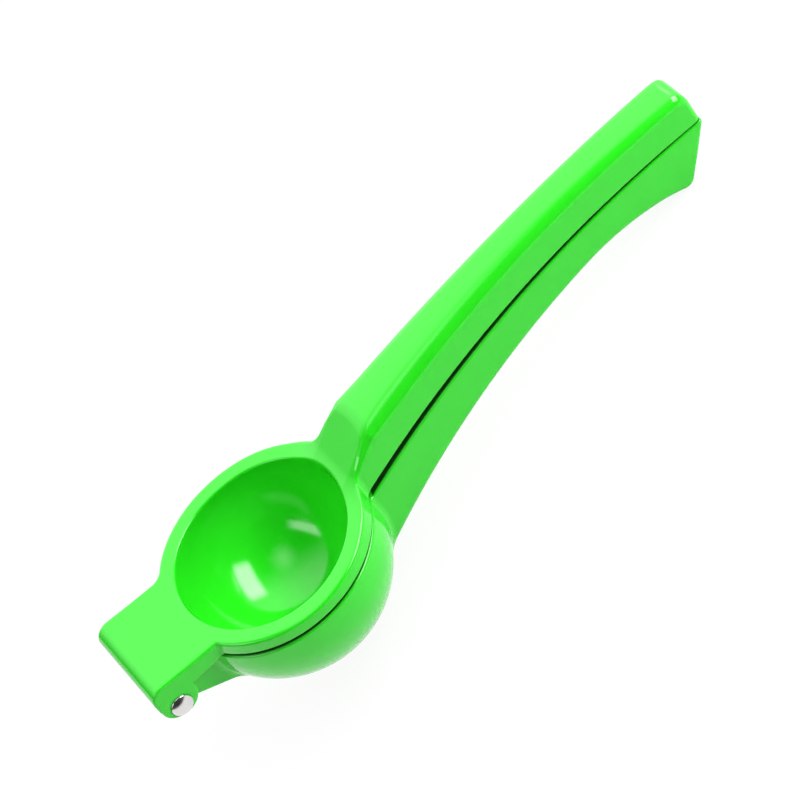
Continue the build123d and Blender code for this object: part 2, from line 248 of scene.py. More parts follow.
def above_press_underside(p):
    """Distance above the underside of the press arm's rim."""
    return above_rim_plane(p, RIM_THICK_AT_HANDLE, RIM_THICK_AT_HINGE)


def above_strainer_top(p):
    """Distance above the top of the bowl, which leaves a gap under the rim."""
    depth_at_handle = RIM_THICK_AT_HANDLE + RIM_GAP_AT_HANDLE
    depth_at_hinge = RIM_THICK_AT_HINGE + RIM_GAP_AT_HINGE
    return above_rim_plane(p, depth_at_handle, depth_at_hinge)


def beside_handle(p):
    """Distance outside the handles' sides: an arc on each side, straight along the grip."""
    ahead = np.maximum(WAIST_X - p[0], 0)
    return WAIST_SIDE_R - np.hypot(ahead, np.abs(p[1]) - GRIP_HALF_WIDTH - WAIST_SIDE_R)


def arch_radius(crest_z, root_z):
    """Radius of an arch from the rim to its crest."""
    run = CREST_X - RIM_R
    climb = crest_z - root_z
    return (run**2 + climb**2) / (2 * climb)


BACK_R = arch_radius(BACK_CREST_Z, BACK_ROOT_Z)
SEAM_R = arch_radius(SEAM_CREST_Z, SEAM_ROOT_Z)


def seam_z(x):
    """The lower edge of the press arm's handle."""
    return SEAM_CREST_Z - SEAM_R + math.sqrt(SEAM_R**2 - (x - CREST_X) ** 2)


def circle_through(a, b, c):
    """Centre and radius of the circle through three points of the side view."""
    rows = [[other[0] - a[0], other[1] - a[1]] for other in (b, c)]
    right = [other[0] ** 2 - a[0] ** 2 + other[1] ** 2 - a[1] ** 2 for other in (b, c)]
    x, z = np.linalg.solve(2 * np.array(rows), np.array(right))
    return x, z, math.hypot(a[0] - x, a[1] - z)


# Press arm

def above_rim(p):
    """Distance above the rim's bowed top: lowest beside the mouth, rising towards handle and hinge."""
    ahead = p[0] - RIM_LOW_X
    bow_r = np.where(ahead > 0, RIM_BOW_R_AT_HANDLE, RIM_BOW_R_AT_HINGE)
    return p[2] - RIM_LOW_Z - ahead**2 / (2 * bow_r)


def beside_plate(p):
    """Distance outside the plan of rim and hood: a ring, with a strip from it towards the hinge."""
    strip = np.maximum(np.abs(p[1]) - HOOD_HALF_WIDTH, p[0])
    turn = math.acos(HOOD_HALF_WIDTH / RIM_R)
    root_r = np.where(p[1] > 0, HOOD_FAR_ROOT_R, HOOD_NEAR_ROOT_R)
    return joined(from_axis(p) - RIM_R, strip, blend_for(root_r, turn))


def above_press(p):
    """Distance above the press arm: bowed rim, S-shaped ramp and crowned back, rolled down at both ends."""
    lag = RAMP_LAG * np.maximum(np.abs(p[1]) - RAMP_HALF_WIDTH, 0)
    ramp = past_plane(p, (RAMP_START_X + lag, 0), (-math.sin(RAMP), math.cos(RAMP)))
    top = joined(above_rim(p), ramp, blend_for(RAMP_FOOT_R, RAMP_FOOT_TURN))
    crown = np.minimum(np.abs(p[1]), BACK_CROWN_HALF_WIDTH) ** 2 / (2 * BACK_CROWN_R)
    back = from_arc(p, CREST_X, BACK_CREST_Z, BACK_R) + crown
    # The back's arc counts only on the handle's side, so elsewhere its surface lies far above
    back = np.where(p[0] > RIM_R / 2, back, -CREST_X)
    top = shared(top, back, blend_for(RAMP_CREST_R, RAMP_CREST_TURN))
    top = shared(top, HOOD_FRONT_X - p[0], HOOD_ROLL_R)
    return shared(top, p[0] - PRESS_END_X - PRESS_TIP_ROLL_PAST, PRESS_TIP_ROLL_R)


def press_block(p):
    """Rim, hood and upper handle as one block with its upper edges rounded, not yet cut off below."""
    strip = shared(np.maximum(beside_handle(p), -p[0]), p[0] - PRESS_END_X, PRESS_TIP_R)
    plan = joined(beside_plate(p), strip, blend_for(ROOT_CORNER_R, ROOT_CORNER_TURN))
    return shared(plan, above_press(p), np.interp(p[0], TOP_EDGE_X, TOP_EDGE_R))


def press_outside(p):
    """The block cut off below along the rim plane, the ears and the seam."""
    above_seam = -from_arc(p, CREST_X, SEAM_CREST_Z, SEAM_R)
    below = np.maximum(-above_press_underside(p), np.minimum(above_seam, beside_plate(p)))
    ear = np.hypot(p[0] - EAR_X, p[2] - EAR_Z) - EAR_R
    ear = np.minimum(ear, np.maximum(p[0] - EAR_X, EAR_Z - p[2]))
    return shared(press_block(p), joined(below, ear, EAR_NOTCH_R), SOFT_EDGE_R)


def knuckle_slot(p):
    """The room between the ears for the strainer arm's knuckle."""
    room = np.minimum(from_pin(p, KNUCKLE_R + KNUCKLE_CLEARANCE), p[2] - HINGE.z - LIP_ABOVE_PIN)
    behind = p[0] + RIM_R
    return np.maximum(np.maximum(room, np.abs(p[1]) - SLOT_HALF_WIDTH), behind)


def press_channel(p):
    """The hollow of the upper handle, open downwards."""
    roof = from_arc(p, CREST_X, BACK_CREST_Z, BACK_R) + CHANNEL_ROOF
    ends = np.maximum(PRESS_CHANNEL_X - p[0], p[0] - PRESS_END_X + CHANNEL_WALL)
    return shared(shared(roof, beside_handle(p) + CHANNEL_WALL, CHANNEL_CORNER_R), ends, CHANNEL_CORNER_R)


def press_arm(p):
    """The upper casting: handle, rim, pressing cup and hood."""
    arm = cut(press_outside(p), knuckle_slot(p), SOFT_EDGE_R)
    dome = np.maximum(round_bottomed(p, DOME_R, DOME_R, CUP_CENTRE_Z), p[2] - DOME_TOP_Z)
    arm = joined(arm, dome, DOME_ROOT_R)
    arm = cut(arm, press_channel(p), SOFT_EDGE_R)
    arm = cut(arm, round_bottomed(p, MOUTH_R, MOUTH_R, CUP_CENTRE_Z), MOUTH_EDGE_R)
    return cut(arm, from_pin(p, PIN_R + PIN_SEAT_CLEARANCE), BORE_EDGE_R)


# Strainer arm

def belly_radius():
    """Radius of the long arc that runs from the bowl into the flare without a kink."""
    run = FLARE_CREST_X - FLARE_R * math.sin(BELLY_BLEND) - BOWL_R
    climb = FLARE_CREST_Z - FLARE_R * (1 - math.cos(BELLY_BLEND)) - BELLY_ROOT_Z
    return (run**2 + climb**2) / (2 * (climb * math.cos(BELLY_BLEND) - run * math.sin(BELLY_BLEND)))


BELLY_R = belly_radius()


def below_belly(p):
    """Distance below the lower handle's underside: a long arc, then a flare."""
    beyond = BELLY_R - FLARE_R
    long_x = FLARE_CREST_X + beyond * math.sin(BELLY_BLEND)
    long_z = FLARE_CREST_Z + beyond * (1 - math.cos(BELLY_BLEND))
    on_flare = p[0] - FLARE_CREST_X > -math.tan(BELLY_BLEND) * (p[2] - FLARE_CREST_Z + FLARE_R)
    flare = from_arc(p, FLARE_CREST_X, FLARE_CREST_Z, FLARE_R)
    return -np.where(on_flare, flare, from_arc(p, long_x, long_z, BELLY_R))


def past_slanted_tip(p):
    """Distance past the slanted end of the lower handle."""
    top = (STRAINER_END_X, seam_z(STRAINER_END_X) - SEAM_GAP_AT_TIP)
    return past_plane(p, top, (math.cos(TIP_SLANT), -math.sin(TIP_SLANT)))


def above_lower_seam(p):
    """Distance above the lower handle's upper edge, which leaves a gap that narrows towards the tip."""
    start_x = BOWL_R / 2
    centre_x, centre_z, radius = circle_through(
        (STRAINER_END_X, seam_z(STRAINER_END_X) - SEAM_GAP_AT_TIP),
        (CREST_X, SEAM_CREST_Z - SEAM_GAP_AT_CREST),
        (start_x, seam_z(start_x) - SEAM_GAP_AT_ROOT),
    )
    return np.hypot(p[0] - centre_x, p[2] - centre_z) - radius


def strainer_outside(p):
    """The lower handle's sides, underside and slanted tip, not yet cut off along the seam."""
    under = shared(below_belly(p), past_slanted_tip(p), STRAINER_TIP_R)
    return shared(beside_handle(p), under, np.interp(p[0], BELLY_EDGE_X, BELLY_EDGE_R))


def strainer_handle(p):
    """The lower handle's outside, from inside the bowl to its slanted tip."""
    body = shared(strainer_outside(p), above_lower_seam(p), SEAM_EDGE_R)
    return np.maximum(body, BOWL_R / 2 - p[0])


def strainer_channel(p):
    """The hollow of the lower handle, open upwards."""
    trough = shared(beside_handle(p) + CHANNEL_WALL, below_belly(p) + CHANNEL_ROOF, CHANNEL_CORNER_R)
    ends = np.maximum(STRAINER_CHANNEL_X - p[0], past_slanted_tip(p) + CHANNEL_WALL)
    return shared(trough, ends, CHANNEL_CORNER_R)


def tongue(p):
    """The hinge end of the strainer arm: a wedge under the hood that ends in the knuckle."""
    out = (-math.sin(TONGUE_SLOPE), -math.cos(TONGUE_SLOPE))
    under = (HINGE.x + KNUCKLE_R * out[0], HINGE.z + KNUCKLE_R * out[1])
    wedge = np.maximum(above_strainer_top(p), past_plane(p, under, out))
    wedge = np.maximum(wedge, np.maximum(HINGE.x - p[0], p[0] + BOWL_R / 2))
    view = joined(wedge, from_pin(p, KNUCKLE_R), BORE_EDGE_R)
    return shared(view, np.abs(p[1]) - TONGUE_HALF_WIDTH, TONGUE_EDGE_R)


def drain_holes(p):
    """Distance outside the drain holes in the bowl's bottom, worked out only for points near them."""
    reach = (DRAIN_RINGS + 1) * DRAIN_RING_STEP
    distance = np.full_like(p[0], DRAIN_RING_STEP)
    near = (p[2] < BOWL_CENTRE_Z) & (from_axis(p) < reach)
    x, y = p[0][near], p[1][near]
    nearest = np.hypot(x, y)
    for ring in range(1, DRAIN_RINGS + 1):
        count = ring * DRAIN_HOLES_PER_RING
        for hole in range(count):
            angle = 2 * math.pi * hole / count
            out = ring * DRAIN_RING_STEP
            nearest = np.minimum(nearest, np.hypot(x - out * math.cos(angle), y - out * math.sin(angle)))
    distance[near] = nearest - DRAIN_HOLE_R
    return distance


def strainer_arm(p):
    """The lower casting: bowl, tongue and handle."""
    arm = joined(round_bottomed(p, BOWL_R, BOWL_DEPTH, BOWL_CENTRE_Z), tongue(p), TONGUE_ROOT_R)
    root_r = np.interp(p[2], BELLY_ROOT_AT_Z, BELLY_ROOT_R)
    arm = joined(arm, strainer_handle(p), blend_for(root_r, ROOT_CORNER_TURN))
    rim_room = np.maximum(-above_strainer_top(p), from_axis(p) - RIM_R - RIM_GAP_AT_HANDLE)
    arm = cut(arm, rim_room, BOWL_EDGE_R)
    arm = cut(arm, round_bottomed(p, BOWL_INNER_R, BOWL_INNER_R, BOWL_CENTRE_Z), SOFT_EDGE_R)
    arm = cut(arm, strainer_channel(p), SOFT_EDGE_R)
    arm = cut(arm, drain_holes(p), DRAIN_EDGE_R)
    return cut(arm, from_pin(p, PIN_R + PIN_RUNNING_CLEARANCE), BORE_EDGE_R)


# Where shade is painted into hollows and gaps

def outside_painted_shade(p):
    """1 where no shade is painted, 0 deep in the handles' hollows and between the rims, where shade is
    painted in full.
    """
    above_seam = from_arc(p, CREST_X, SEAM_CREST_Z, SEAM_R) > 0
    outside = np.where(above_seam, press_block(p), strainer_outside(p))
    along_handle = (from_axis(p) > RIM_R + PAINTED_SHADE_DEPTH[1]) & (p[0] > 0)
    in_handle = np.where(along_handle, -outside, 0)
    to_mating = np.minimum(np.abs(above_press_underside(p)), np.abs(above_strainer_top(p)))
    in_gap = (to_mating < PAINTED_SHADE_DEPTH[0] / 2) & (from_axis(p) > DOME_R)
    in_rim = np.where(in_gap, RIM_R - from_axis(p), 0)
    depth = np.maximum(in_handle, in_rim)
    return 1 - np.clip((depth - PAINTED_SHADE_DEPTH[0]) / (PAINTED_SHADE_DEPTH[1] - PAINTED_SHADE_DEPTH[0]), 0, 1)


# From a distance field to a mesh

CORNERS = np.array([(i, j, k) for i in (0, 1) for j in (0, 1) for k in (0, 1)])
CELL_EDGES = [
    (a, b)
    for a in range(len(CORNERS))
    for b in range(a + 1, len(CORNERS))
    if np.abs(CORNERS[a] - CORNERS[b]).sum() == 1
]


def cells_near_surface(field, low, counts):
    """Grid cells that the surface may pass through, found by halving coarse cells near it."""
    size = COARSE_STEPS
    axes = [np.arange(n // size) for n in counts]
    cells = np.stack(np.meshgrid(*axes, indexing="ij"), -1).reshape(-1, 3)
    while True:
        centres = low + (cells + CELL_MIDDLE) * size * GRID_STEP
        cells = cells[np.abs(field(centres.T)) < NEAR_CELLS * size * GRID_STEP]
        if size == 1:
            return cells
        cells = (cells[:, None] * 2 + CORNERS).reshape(-1, 3)
        size //= 2


def surface_net(field, low, high):
    """Points and four-sided faces where the field is zero, with one point in each crossed cell."""
    low = np.array(low) - GRID_MARGIN
    span = np.array(high) + GRID_MARGIN - low
    counts = np.ceil(span / GRID_STEP / COARSE_STEPS).astype(int) * COARSE_STEPS
    cells = cells_near_surface(field, low, counts)
    shape = tuple(counts + 1)
    corners = (cells[:, None] + CORNERS).reshape(-1, 3)
    corner_ids = np.ravel_multi_index(corners.T, shape).reshape(-1, len(CORNERS))
    used = np.zeros(np.prod(shape), bool)
    used[corner_ids] = True
    used_ids = np.flatnonzero(used)
    values = np.zeros(len(used), np.float32)
    values[used_ids] = field(low[:, None] + np.array(np.unravel_index(used_ids, shape)) * GRID_STEP)
    values = values[corner_ids]
    inside = values < 0
    crossed = inside.any(1) & ~inside.all(1)
    cells, values, inside = cells[crossed], values[crossed], inside[crossed]

    total = np.zeros((len(cells), 3))
    hits = np.zeros((len(cells), 1))
    for a, b in CELL_EDGES:
        rows = np.flatnonzero(inside[:, a] != inside[:, b])
        share = values[rows, a] / (values[rows, a] - values[rows, b])
        total[rows] += CORNERS[a] + share[:, None] * (CORNERS[b] - CORNERS[a])
        hits[rows] += 1
    points = low + (cells + total / hits) * GRID_STEP

    point_of_cell = np.full(shape, -1, np.int32)
    point_of_cell[tuple(cells.T)] = np.arange(len(cells))
    faces = []
    for axis in range(3):
        along, first, second = np.roll(np.eye(3, dtype=int), -axis, axis=0)
        far = int(np.flatnonzero((CORNERS == along).all(1))[0])
        rows = np.flatnonzero(inside[:, 0] != inside[:, far])
        around = [cells[rows] - shift for shift in (0 * along, first, first + second, second)]
        quads = np.stack([point_of_cell[tuple(c.T)] for c in around], 1)
        turned = ~inside[rows, 0]
        quads[turned] = quads[turned][:, ::-1]
        faces.append(quads)
    return points, np.concatenate(faces)


def slopes(field, points):
    """Unit directions in which the field grows fastest."""
    found = np.empty_like(points)
    for axis in range(3):
        step = np.eye(3)[axis] * SLOPE_STEP
        found[:, axis] = field((points + step).T) - field((points - step).T)
    return found / np.linalg.norm(found, axis=1, keepdims=True)


def settled(field, points):
    """The points moved onto the surface, and its outward directions there."""
    for _ in range(SETTLE_PASSES):
        points = points - slopes(field, points) * field(points.T)[:, None]
    return points, slopes(field, points)


def mesh_of(name, points, faces):
    """A mesh of faces that all have the same number of corners."""
    mesh = bpy.data.meshes.new(name)
    mesh.vertices.add(len(points))
    mesh.vertices.foreach_set("co", points.astype(np.float32).ravel())
    mesh.loops.add(faces.size)
    mesh.loops.foreach_set("vertex_index", faces.astype(np.int32).ravel())
    mesh.polygons.add(len(faces))
    mesh.polygons.foreach_set("loop_start", np.arange(0, faces.size, faces.shape[1], dtype=np.int32))
    mesh.update(calc_edges=True)
    return mesh


def link(name, data):
    """A new object in the scene."""
    thing = bpy.data.objects.new(name, data)
    bpy.context.scene.collection.objects.link(thing)
    return thing


def evaluated_mesh(thing):
    """The object's mesh with its modifiers applied."""
    return bpy.data.meshes.new_from_object(thing.evaluated_get(bpy.context.evaluated_depsgraph_get()))


def casting(name, field, low, high, material):
    """A casting's mesh: a fine net over its field, thinned where it is flat, with exact smooth normals."""
    points, faces = surface_net(field, low, high)
    piece = link(name, mesh_of(name, points, faces))
    thin = piece.modifiers.new("thin", "DECIMATE")
    thin.ratio = min(1, CASTING_TRIANGLES / (2 * len(faces)))
    thinned = evaluated_mesh(piece)
    piece.modifiers.remove(thin)
    piece.data = thinned
    flat = np.empty(len(thinned.vertices) * 3, np.float32)
    thinned.vertices.foreach_get("co", flat)
    points, normals = settled(field, flat.reshape(-1, 3).astype(float))
    turn = np.array(RIM_TURN)
    placed = points @ turn.T * MM + np.array(RIM_CENTRE)
    thinned.vertices.foreach_set("co", placed.astype(np.float32).ravel())
    thinned.polygons.foreach_set("use_smooth", np.ones(len(thinned.polygons), bool))
    thinned.update()
    thinned.normals_split_custom_set_from_vertices(normals @ turn.T)
    # Each point's share that is free of the painted shade in the handles' hollows and between the rims
    reach = thinned.attributes.new("outside_painted_shade", "FLOAT", "POINT")
    reach.data.foreach_set("value", outside_painted_shade(points.T).astype(np.float32))
    thinned.materials.append(material)
    return piece


# Shader trees

class Wire:
    """A socket that takes part in sums: each operator adds a Math node, | the larger and & the smaller."""

    def __init__(self, nodes, socket):
        self.nodes = nodes
        self.socket = socket

    def math(self, operation, first, second):
        return self.nodes.node("ShaderNodeMath", {"operation": operation}, {0: first, 1: second})[0]

    def __add__(self, other):
        return self.math("ADD", self, other)

    def __radd__(self, other):
        return self.math("ADD", other, self)

    def __sub__(self, other):
        return self.math("SUBTRACT", self, other)

    def __rsub__(self, other):
        return self.math("SUBTRACT", other, self)

    def __mul__(self, other):
        return self.math("MULTIPLY", self, other)

    def __rmul__(self, other):
        return self.math("MULTIPLY", other, self)

    def __truediv__(self, other):
        return self.math("DIVIDE", self, other)

    def __rtruediv__(self, other):
        return self.math("DIVIDE", other, self)

    def __gt__(self, other):
        return self.math("GREATER_THAN", self, other)

    def __or__(self, other):
        return self.math("MAXIMUM", self, other)

    def __and__(self, other):
        return self.math("MINIMUM", self, other)


class Outputs:
    """A node's output sockets, by name or number."""

    def __init__(self, nodes, node):
        self.nodes = nodes
        self.outputs = node.outputs

    def __getitem__(self, key):
        return Wire(self.nodes, self.outputs[key])


class Nodes:
    """A node tree that is filled one node at a time."""

    def __init__(self, tree):
        self.tree = tree
        tree.nodes.clear()

    def node(self, kind, settings=None, sockets=None):
        """Adds a node: its settings first, then the values or links of its sockets."""
        node = self.tree.nodes.new(kind)
        for name, value in (settings or {}).items():
            setattr(node, name, value)
        for key, value in (sockets or {}).items():
            if isinstance(value, Wire):
                self.tree.links.new(value.socket, node.inputs[key])
            else:
                node.inputs[key].default_value = value
        return Outputs(self, node)


def new_material(name):
    """A material and its empty tree."""
    material = bpy.data.materials.new(name)
    material.use_nodes = True
    return material, Nodes(material.node_tree)


def object_place(nodes):
    """Places on the object, which move with it."""
    return nodes.node("ShaderNodeTexCoord")["Object"]


def noise(nodes, place, size_mm, detail):
    """Noise with features of about the given size."""
    sockets = {"Vector": place, "Scale": 1 / (size_mm * MM), "Detail": detail}
    return nodes.node("ShaderNodeTexNoise", {"noise_dimensions": "3D"}, sockets)["Fac"]


def mixed(nodes, factor, first, second):
    """A colour between two colours."""
    sockets = {"Factor": factor, 6: first, 7: second}
    return nodes.node("ShaderNodeMix", {"data_type": "RGBA"}, sockets)[2]


# Enamel: its colours, with a dark green that is painted shade in hollows and gaps, the size in millimetres
# and the detail of its unevenness, how high that stands in millimetres, and its gloss
ENAMEL_DEEP = (0.017, 0.58, 0.010, 1)
ENAMEL_BRIGHT = (0.022, 0.63, 0.013, 1)
# A dark green that is painted shade, not a thinner coat, deep in hollows and gaps
PAINTED_SHADE_GREEN = (0.005, 0.055, 0.004, 1)
POOLING = (9.0, 3.0)
ORANGE_PEEL = (1.6, 2.0)
CASTING_WAVES = (14.0, 1.0)
PEEL_HEIGHT = 0.004
WAVES_HEIGHT = 0.03
ENAMEL_ROUGHNESS = 0.08
POOLING_ROUGHNESS = 0.06
# Extra roughness where shade is painted in hollows and gaps
PAINTED_SHADE_ROUGHNESS = 0.35
ENAMEL_IOR = 1.52


def enamel():
    """Glossy lime enamel that pools a little, with a faint orange peel, the casting's soft waves and
    painted shade in hollows.
    """
    material, nodes = new_material("lime_enamel")
    place = object_place(nodes)
    # The mask of the painted shade: dark green in the handles' hollows and between the rims
    reach = nodes.node("ShaderNodeAttribute", {"attribute_name": "outside_painted_shade"})["Fac"]
    pooling = noise(nodes, place, *POOLING)
    peel = noise(nodes, place, *ORANGE_PEEL)
    waves = noise(nodes, place, *CASTING_WAVES)
    height = waves * WAVES_HEIGHT + peel * PEEL_HEIGHT
    bump = nodes.node("ShaderNodeBump", {}, {"Strength": 1.0, "Distance": MM, "Height": height})["Normal"]
    full = mixed(nodes, pooling, ENAMEL_DEEP, ENAMEL_BRIGHT)
    # The base colour turns to painted shade, a dark green, deep in hollows and gaps, which are rougher
    # there too
    surface = nodes.node(
        "ShaderNodeBsdfPrincipled",
        {},
        {
            "Base Color": mixed(nodes, reach, PAINTED_SHADE_GREEN, full),
            "Roughness": ENAMEL_ROUGHNESS + pooling * POOLING_ROUGHNESS + (1 - reach) * PAINTED_SHADE_ROUGHNESS,
            "IOR": ENAMEL_IOR,
            "Normal": bump,
        },
    )[0]
    nodes.node("ShaderNodeOutputMaterial", {}, {"Surface": surface})
    return material


# Steel: its colours, the size in millimetres and the detail of its unevenness, how high that stands in
# millimetres and how strongly it shows, and its gloss
STEEL_LIGHT = (0.80, 0.79, 0.78, 1)
STEEL_DARK = (0.66, 0.65, 0.645, 1)
SCRATCHES = (0.25, 4.0)
CLOUDS = (1.5, 2.0)
SCRATCH_HEIGHT = 0.01
SCRATCH_STRENGTH = 0.4
STEEL_ROUGHNESS = 0.16
SCRATCH_ROUGHNESS = 0.12


def pin_steel():
    """Polished steel with fine scratches and a little unevenness."""
    material, nodes = new_material("rivet_steel")
    place = object_place(nodes)
    scratches = noise(nodes, place, *SCRATCHES)
    clouds = noise(nodes, place, *CLOUDS)
    bump_sockets = {"Strength": SCRATCH_STRENGTH, "Distance": MM, "Height": scratches * SCRATCH_HEIGHT}
    bump = nodes.node("ShaderNodeBump", {}, bump_sockets)["Normal"]
    surface = nodes.node(
        "ShaderNodeBsdfPrincipled",
        {},
        {
            "Base Color": mixed(nodes, clouds, STEEL_DARK, STEEL_LIGHT),
            "Metallic": 1.0,
            "Roughness": STEEL_ROUGHNESS + scratches * SCRATCH_ROUGHNESS,
            "Normal": bump,
        },
    )[0]
    nodes.node("ShaderNodeOutputMaterial", {}, {"Surface": surface})
    return material


# Rivet, in millimetres: its head and peened end, the rings of each and the sides of the mesh, the step from
# shank to head, and the distance under which points become one
PIN_HEAD_R = 3.5
PIN_HEAD_LIFT = 0.25
PIN_HEAD_RISE = 1.5
PIN_PEEN_R = 2.7
PIN_PEEN_RISE = 1.0
PIN_RINGS = 14
PIN_SIDES = 64
PIN_STEP = 0.02
PIN_MERGE = 0.001


def pin_inputs():
    """The rivet tree's named inputs, in metres."""
    return {
        "Shank Radius": PIN_R * MM,
        "Half Length": (HOOD_HALF_WIDTH + PIN_HEAD_LIFT) * MM,
        "Head Radius": PIN_HEAD_R * MM,
        "Head Rise": PIN_HEAD_RISE * MM,
        "Peen Radius": PIN_PEEN_R * MM,
        "Peen Rise": PIN_PEEN_RISE * MM,
        "Step": PIN_STEP * MM,
    }


def pin_tree(material):
    """A rivet as a tube along Y whose radius follows a domed head, a shank and a peened end."""
    tree = bpy.data.node_groups.new("rivet", "GeometryNodeTree")
    nodes = Nodes(tree)
    for name in pin_inputs():
        tree.interface.new_socket(name, in_out="INPUT", socket_type="NodeSocketFloat")
    tree.interface.new_socket("Geometry", in_out="OUTPUT", socket_type="NodeSocketGeometry")
    given = nodes.node("NodeGroupInput")
    index = nodes.node("GeometryNodeInputIndex")[0]
    last = 2 * PIN_RINGS + 1
    from_end = index & (last - index)
    at_peen = index > last / 2
    in_shank = from_end > PIN_RINGS - 1
    dome_r = given["Head Radius"] + at_peen * (given["Peen Radius"] - given["Head Radius"])
    rise = given["Head Rise"] + at_peen * (given["Peen Rise"] - given["Head Rise"])
    ball_r = (dome_r * dome_r + rise * rise) / (2 * rise)
    widest = nodes.node("ShaderNodeMath", {"operation": "ARCSINE"}, {0: dome_r / ball_r})[0]
    angle = widest * from_end / (PIN_RINGS - 1)
    sine = nodes.node("ShaderNodeMath", {"operation": "SINE"}, {0: angle})[0]
    cosine = nodes.node("ShaderNodeMath", {"operation": "COSINE"}, {0: angle})[0]
    out_dome = given["Half Length"] + rise - ball_r * (1 - cosine)
    out = out_dome + in_shank * (given["Half Length"] - given["Step"] - out_dome)
    radius = ball_r * sine
    radius = radius + in_shank * (given["Shank Radius"] - radius)
    side = 2 * at_peen - 1
    spot = nodes.node("ShaderNodeCombineXYZ", {}, {"Y": side * out})[0]
    line = nodes.node("GeometryNodeCurvePrimitiveLine", {}, {"End": (0, 1, 0)})[0]
    line = nodes.node("GeometryNodeResampleCurve", {}, {"Curve": line, "Count": last + 1})[0]
    line = nodes.node("GeometryNodeSetPosition", {}, {"Geometry": line, "Position": spot})[0]
    circle_settings = {"Resolution": PIN_SIDES, "Radius": 1.0}
    circle = nodes.node("GeometryNodeCurvePrimitiveCircle", {"mode": "RADIUS"}, circle_settings)[0]
    tube_sockets = {"Curve": line, "Profile Curve": circle, "Scale": radius}
    tube = nodes.node("GeometryNodeCurveToMesh", {}, tube_sockets)[0]
    merge_sockets = {"Geometry": tube, "Distance": PIN_MERGE * MM}
    tube = nodes.node("GeometryNodeMergeByDistance", {}, merge_sockets)[0]
    tube = nodes.node("GeometryNodeSetShadeSmooth", {}, {"Geometry": tube})[0]
    tube = nodes.node("GeometryNodeRealizeInstances", {}, {"Geometry": tube})[0]
    tube = nodes.node("GeometryNodeSetMaterial", {}, {"Geometry": tube, "Material": material})[0]
    nodes.node("NodeGroupOutput", {}, {"Geometry": tube})
    return tree


def rivet(material):
    """The steel rivet through both ears and the knuckle, its head on the near side."""
    holder = link("hinge_pin_steel", bpy.data.meshes.new("rivet_start"))
    modifier = holder.modifiers.new("rivet", "NODES")
    modifier.node_group = pin_tree(material)
    sizes = pin_inputs()
    for item in modifier.node_group.interface.items_tree:
        if item.in_out == "INPUT":
            modifier[item.identifier] = sizes[item.name]
    mesh = evaluated_mesh(holder)
    holder.modifiers.remove(modifier)
    holder.data = mesh
    mesh.transform(Matrix.Translation(Vector(frame["joints"][0]["pos_m"])))
    return holder


# Stage, in metres, with the brightness of floor and room
FLOOR_HALF = 6.0
FLOOR_GLOW = 0.92
FLOOR_DROP = 0.0005
FLOOR_WHITE = (0.92, 0.92, 0.92, 1)
WHITE = (1, 1, 1, 1)
STUDIO_FRONT = (0.03, 0.03, 0.03, 1)
STUDIO_BACK = (2.0, 2.0, 2.0, 1)
STUDIO_BACK_TOWARDS = Vector((0.30, 0.75, 0.59)).normalized()
STUDIO_BACK_FADE = (0.31, 0.88)

# Soft boxes around the object, in metres and degrees. Compass is 0 towards the camera's side and 90 along
# the handle, roll turns the box on its stand, and fade is the share of width and height over which the box
# fades at each edge. All of them face the same point.
SOFT_BOXES = {
    "key_box": {
        "compass": 71.5, "height_angle": 33.0, "distance": 0.90, "width": 0.97, "height": 0.46,
        "brightness": 11.9, "fade": 0.23, "roll": 15.0,
    },
    "left_box": {
        "compass": -75.0, "height_angle": 46.0, "distance": 1.00, "width": 0.96, "height": 0.24,
        "brightness": 5.0, "fade": 0.30, "roll": 0.0,
    },
    "low_left_box": {
        "compass": -80.0, "height_angle": 30.0, "distance": 0.90, "width": 0.60, "height": 0.40,
        "brightness": 2.4, "fade": 0.40, "roll": 0.0,
    },
    "back_box": {
        "compass": 132.0, "height_angle": 24.0, "distance": 1.00, "width": 0.46, "height": 0.34,
        "brightness": 3.2, "fade": 0.50, "roll": 0.0,
    },
    "top_spot": {
        "compass": 8.0, "height_angle": 72.0, "distance": 0.90, "width": 0.66, "height": 0.66,
        "brightness": 2.4, "fade": 0.50, "roll": 0.0,
    },
}
LIGHT_AIM = Vector((-0.02, 0, 0.03))

# The photograph's view: image size and focal length in pixels, then the camera's direction and distance
# from the rim, in the rim's frame, and the pixel where the rim's centre shows
IMAGE_SIZE = 800
FOCAL_PIXELS = 4000
SENSOR_MM = 36.0
CAMERA_AZIMUTH = math.radians(-4.96)
CAMERA_HEIGHT = math.radians(45.51)
CAMERA_ROLL = math.radians(38.86)
CAMERA_DISTANCE = 1.0918
RIM_PIXEL = (260.76, 543.51)


def floor():
    """A wide white floor that shows as white, with the object's shadow kept faintly."""
    half = FLOOR_HALF
    plan = [(-half, -half), (half, -half), (half, half), (-half, half)]
    corners = np.array([(x, y, -FLOOR_DROP) for x, y in plan])
    sheet = link("floor", mesh_of("floor", corners, np.array([[0, 1, 2, 3]])))
    material, nodes = new_material("white_floor")
    path = nodes.node("ShaderNodeLightPath")
    seen = path["Is Camera Ray"] | path["Is Glossy Ray"] | path["Is Transmission Ray"]
    matte = nodes.node("ShaderNodeBsdfDiffuse", {}, {"Color": FLOOR_WHITE})[0]
    glow = nodes.node("ShaderNodeEmission", {}, {"Color": WHITE, "Strength": 1.0})[0]
    surface = nodes.node("ShaderNodeMixShader", {}, {0: seen * FLOOR_GLOW, 1: matte, 2: glow})[0]
    nodes.node("ShaderNodeOutputMaterial", {}, {"Surface": surface})
    sheet.data.materials.append(material)


def faded(nodes, value, low, high):
    """0 below the low value, 1 above the high one, smooth between them."""
    sockets = {"Value": value, "From Min": low, "From Max": high}
    return nodes.node("ShaderNodeMapRange", {"interpolation_type": "SMOOTHSTEP"}, sockets)[0]


